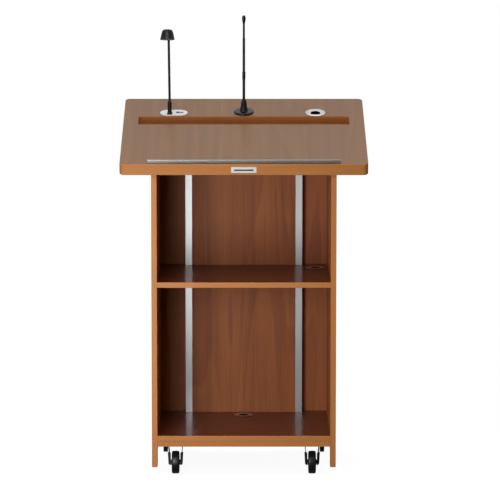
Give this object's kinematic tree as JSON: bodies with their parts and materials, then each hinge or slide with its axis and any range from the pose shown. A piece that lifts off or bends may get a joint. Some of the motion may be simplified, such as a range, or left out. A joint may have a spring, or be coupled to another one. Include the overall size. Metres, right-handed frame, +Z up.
{
  "type": "presentation lectern",
  "caption": "Wheeled wooden lectern: open cabinet with shelf, sloping desk top with pen trough and book stop, gooseneck lamp and microphone, cable grommets.",
  "frame": {"origin": "on the floor under the middle of the desk top", "axes": "+Z up, +Y from the speaker towards the audience, +X to the speaker's right"},
  "size_m": [0.803, 0.5798, 1.4908],
  "materials": {
    "veneer": "satin lacquered wood-grain veneer on board",
    "desk_veneer": "satin lacquered wood-grain laminate",
    "solid_wood": "plain sawn softwood",
    "dowel_wood": "plain turned beech",
    "anodised": "satin clear anodised extrusion",
    "satin_plate": "fine brushed blank plate",
    "grommet_silver": "silver coated moulded plastic",
    "zinc_steel": "bright zinc plated pressed steel",
    "fork_black": "black powder coated pressed steel",
    "wheel_core": "dark grey moulded polypropylene",
    "tyre": "grey-black thermoplastic rubber tread",
    "black_metal": "semi-matt black lacquered brass and steel tube",
    "black_plastic": "fine moulded black ABS",
    "boot_rubber": "soft black moulded rubber",
    "white_plastic": "white moulded ABS",
    "port_metal": "tinned steel port shell",
    "lens": "opal diffuser",
    "led_board": "white printed aluminium board"
  },
  "bodies": {
    "cabinet": {"side_panel_left": "veneer", "side_panel_right": "veneer", "base_board": "veneer", "shelf": "veneer", "carcass_dowels": "dowel_wood", "back_panel_left": "veneer", "back_panel_right": "veneer", "centre_panel": "veneer", "upright_post_left": "anodised", "upright_post_right": "anodised", "base_rail_front": "veneer", "base_rail_back": "veneer", "castor_batten_left": "solid_wood", "castor_batten_right": "solid_wood", "desk_top": "desk_veneer", "desk_cleat_left": "solid_wood", "desk_cleat_right": "solid_wood", "cleat_screws": "zinc_steel", "book_stop": "anodised", "name_plate": "satin_plate", "grommet_ring_desk": "grommet_silver", "grommet_ring_shelf": "grommet_silver", "grommet_ring_base": "grommet_silver", "outlet_bezel": "white_plastic", "outlet_case": "black_plastic", "outlet_ports": "port_metal", "lamp_sleeve": "black_plastic", "lamp_neck_lower": "black_metal", "mic_flange": "black_metal", "mic_socket": "black_plastic", "mic_plug": "black_plastic", "mic_boot": "boot_rubber", "mic_neck_lower": "black_metal", "castor_plate_left": "zinc_steel", "castor_plate_right": "zinc_steel", "fixed_bracket_left": "zinc_steel", "fixed_bracket_right": "zinc_steel", "fixed_axles": "zinc_steel", "castor_screws": "zinc_steel"},
    "grommet_cap_desk": {"grommet_cap_desk": "grommet_silver"},
    "grommet_cap_shelf": {"grommet_cap_shelf": "grommet_silver"},
    "grommet_cap_base": {"grommet_cap_base": "grommet_silver"},
    "lamp_neck": {"lamp_neck_upper": "black_metal"},
    "lamp_head": {"lamp_elbow": "black_metal", "lamp_shade": "black_metal", "lamp_led_board": "led_board", "lamp_diffuser": "lens"},
    "mic_stem": {"mic_stem": "black_metal"},
    "mic_head": {"mic_neck_upper": "black_metal", "mic_capsule": "black_metal"},
    "castor_fork_left": {"castor_fork_left": "fork_black", "castor_axle_left": "zinc_steel"},
    "castor_wheel_left": {"castor_hub_left": "wheel_core", "castor_tyre_left": "tyre"},
    "fixed_wheel_left": {"fixed_wheel_left": "tyre"},
    "castor_fork_right": {"castor_fork_right": "fork_black", "castor_axle_right": "zinc_steel"},
    "castor_wheel_right": {"castor_hub_right": "wheel_core", "castor_tyre_right": "tyre"},
    "fixed_wheel_right": {"fixed_wheel_right": "tyre"}
  },
  "joints": [
    {"name": "castor_left_swivel", "type": "hinge", "parent": "cabinet", "child": "castor_fork_left", "pos_m": [-0.224, -0.19253, 0.095], "axis": [0, 0, 1], "continuous": true},
    {"name": "castor_left_roll", "type": "hinge", "parent": "castor_fork_left", "child": "castor_wheel_left", "pos_m": [-0.224, -0.21053, 0.0375], "axis": [1, 0, 0], "continuous": true},
    {"name": "fixed_left_roll", "type": "hinge", "parent": "cabinet", "child": "fixed_wheel_left", "pos_m": [-0.266, 0.16947, 0.032], "axis": [1, 0, 0], "continuous": true},
    {"name": "castor_right_swivel", "type": "hinge", "parent": "cabinet", "child": "castor_fork_right", "pos_m": [0.224, -0.19253, 0.095], "axis": [0, 0, 1], "continuous": true},
    {"name": "castor_right_roll", "type": "hinge", "parent": "castor_fork_right", "child": "castor_wheel_right", "pos_m": [0.224, -0.21053, 0.0375], "axis": [1, 0, 0], "continuous": true},
    {"name": "fixed_right_roll", "type": "hinge", "parent": "cabinet", "child": "fixed_wheel_right", "pos_m": [0.266, 0.16947, 0.032], "axis": [1, 0, 0], "continuous": true},
    {"name": "grommet_desk_turn", "type": "hinge", "parent": "cabinet", "child": "grommet_cap_desk", "pos_m": [0.24, 0.15097, 1.15966], "axis": [0, -0.2857, 0.9583], "continuous": true},
    {"name": "grommet_shelf_turn", "type": "hinge", "parent": "cabinet", "child": "grommet_cap_shelf", "pos_m": [0.24, 0.09447, 0.642], "axis": [0, 0, 1], "continuous": true},
    {"name": "grommet_base_turn", "type": "hinge", "parent": "cabinet", "child": "grommet_cap_base", "pos_m": [0, 0.11647, 0.137], "axis": [0, 0, 1], "continuous": true},
    {"name": "lamp_neck_bend", "type": "hinge", "parent": "cabinet", "child": "lamp_neck", "pos_m": [-0.2483, 0.11707, 1.21738], "axis": [1, 0, 0], "range_deg": [-40, 40]},
    {"name": "lamp_head_bend", "type": "hinge", "parent": "lamp_neck", "child": "lamp_head", "pos_m": [-0.24928, 0.06336, 1.39754], "axis": [1, 0, 0], "range_deg": [-45, 45]},
    {"name": "mic_neck_bend", "type": "hinge", "parent": "cabinet", "child": "mic_stem", "pos_m": [0, 0.13205, 1.24063], "axis": [1, 0, 0], "range_deg": [-35, 35]},
    {"name": "mic_head_bend", "type": "hinge", "parent": "mic_stem", "child": "mic_head", "pos_m": [0, 0.07348, 1.43709], "axis": [1, 0, 0], "range_deg": [-50, 50]}
  ]
}
